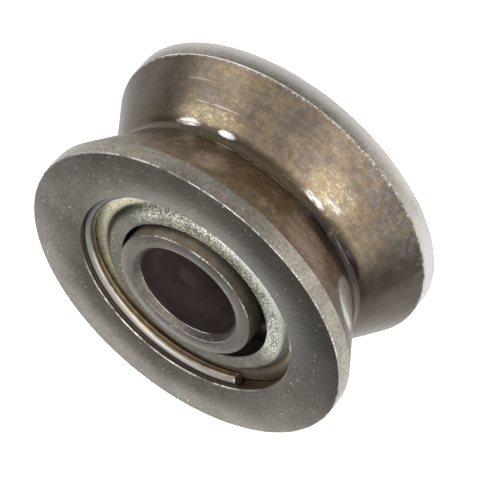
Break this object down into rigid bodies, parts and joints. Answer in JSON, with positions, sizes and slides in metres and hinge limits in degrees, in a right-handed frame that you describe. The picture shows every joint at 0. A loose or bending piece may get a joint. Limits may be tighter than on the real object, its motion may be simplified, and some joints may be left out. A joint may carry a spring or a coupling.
{
  "type": "v groove wheel",
  "caption": "Small steel guide wheel with a V groove in its rim, running on a shielded ball bearing with a plain bore.",
  "frame": {"origin": "middle of the wheel, on the bore's axis and halfway between its two faces", "axes": "+Z along the bore's axis out of the upper face; +X towards the first ball; the wheel stands on its lower face"},
  "size_m": [0.013, 0.013, 0.006],
  "materials": {
    "ring_steel": "turned and hardened steel, grey on the faces, oily bronze brown in the groove",
    "inner_ring_steel": "ground steel, dull grey, bright on its edges",
    "shield_steel": "pressed sheet steel, blasted matt",
    "spring_wire": "drawn spring wire, glossy",
    "cage_steel": "pressed sheet steel, satin",
    "rivet_steel": "soft steel, satin",
    "ball_steel": "polished bearing steel"
  },
  "bodies": {
    "inner": {"inner_ring": "inner_ring_steel"},
    "outer": {"outer_ring": "ring_steel", "shield_upper": "shield_steel", "shield_lower": "shield_steel", "snap_wire_upper": "spring_wire", "snap_wire_lower": "spring_wire"},
    "cage": {"cage_half_upper": "cage_steel", "cage_half_lower": "cage_steel", "rivet_1": "rivet_steel", "rivet_2": "rivet_steel", "rivet_3": "rivet_steel", "rivet_4": "rivet_steel", "rivet_5": "rivet_steel", "rivet_6": "rivet_steel", "rivet_7": "rivet_steel"},
    "ball_1_body": {"ball_1": "ball_steel"},
    "ball_2_body": {"ball_2": "ball_steel"},
    "ball_3_body": {"ball_3": "ball_steel"},
    "ball_4_body": {"ball_4": "ball_steel"},
    "ball_5_body": {"ball_5": "ball_steel"},
    "ball_6_body": {"ball_6": "ball_steel"},
    "ball_7_body": {"ball_7": "ball_steel"}
  },
  "joints": [
    {"name": "wheel_spin", "type": "hinge", "parent": "inner", "child": "outer", "pos_m": [0, 0, 0], "axis": [0, 0, 1], "continuous": true},
    {"name": "cage_orbit", "type": "hinge", "parent": "inner", "child": "cage", "pos_m": [0, 0, 0], "axis": [0, 0, 1], "continuous": true},
    {"name": "ball_1_spin", "type": "hinge", "parent": "cage", "child": "ball_1_body", "pos_m": [0.00355, 0, 0], "axis": [0, 0, 1], "continuous": true},
    {"name": "ball_2_spin", "type": "hinge", "parent": "cage", "child": "ball_2_body", "pos_m": [0.00221, 0.00278, 0], "axis": [0, 0, 1], "continuous": true},
    {"name": "ball_3_spin", "type": "hinge", "parent": "cage", "child": "ball_3_body", "pos_m": [-0.00079, 0.00346, 0], "axis": [0, 0, 1], "continuous": true},
    {"name": "ball_4_spin", "type": "hinge", "parent": "cage", "child": "ball_4_body", "pos_m": [-0.0032, 0.00154, 0], "axis": [0, 0, 1], "continuous": true},
    {"name": "ball_5_spin", "type": "hinge", "parent": "cage", "child": "ball_5_body", "pos_m": [-0.0032, -0.00154, 0], "axis": [0, 0, 1], "continuous": true},
    {"name": "ball_6_spin", "type": "hinge", "parent": "cage", "child": "ball_6_body", "pos_m": [-0.00079, -0.00346, 0], "axis": [0, 0, 1], "continuous": true},
    {"name": "ball_7_spin", "type": "hinge", "parent": "cage", "child": "ball_7_body", "pos_m": [0.00221, -0.00278, 0], "axis": [0, 0, 1], "continuous": true}
  ],
  "couplings": [
    {"joint": "cage_orbit", "follows": "wheel_spin", "ratio": 0.64084},
    {"joint": "ball_1_spin", "follows": "wheel_spin", "ratio": 1.6342},
    {"joint": "ball_2_spin", "follows": "wheel_spin", "ratio": 1.6342},
    {"joint": "ball_3_spin", "follows": "wheel_spin", "ratio": 1.6342},
    {"joint": "ball_4_spin", "follows": "wheel_spin", "ratio": 1.6342},
    {"joint": "ball_5_spin", "follows": "wheel_spin", "ratio": 1.6342},
    {"joint": "ball_6_spin", "follows": "wheel_spin", "ratio": 1.6342},
    {"joint": "ball_7_spin", "follows": "wheel_spin", "ratio": 1.6342}
  ]
}
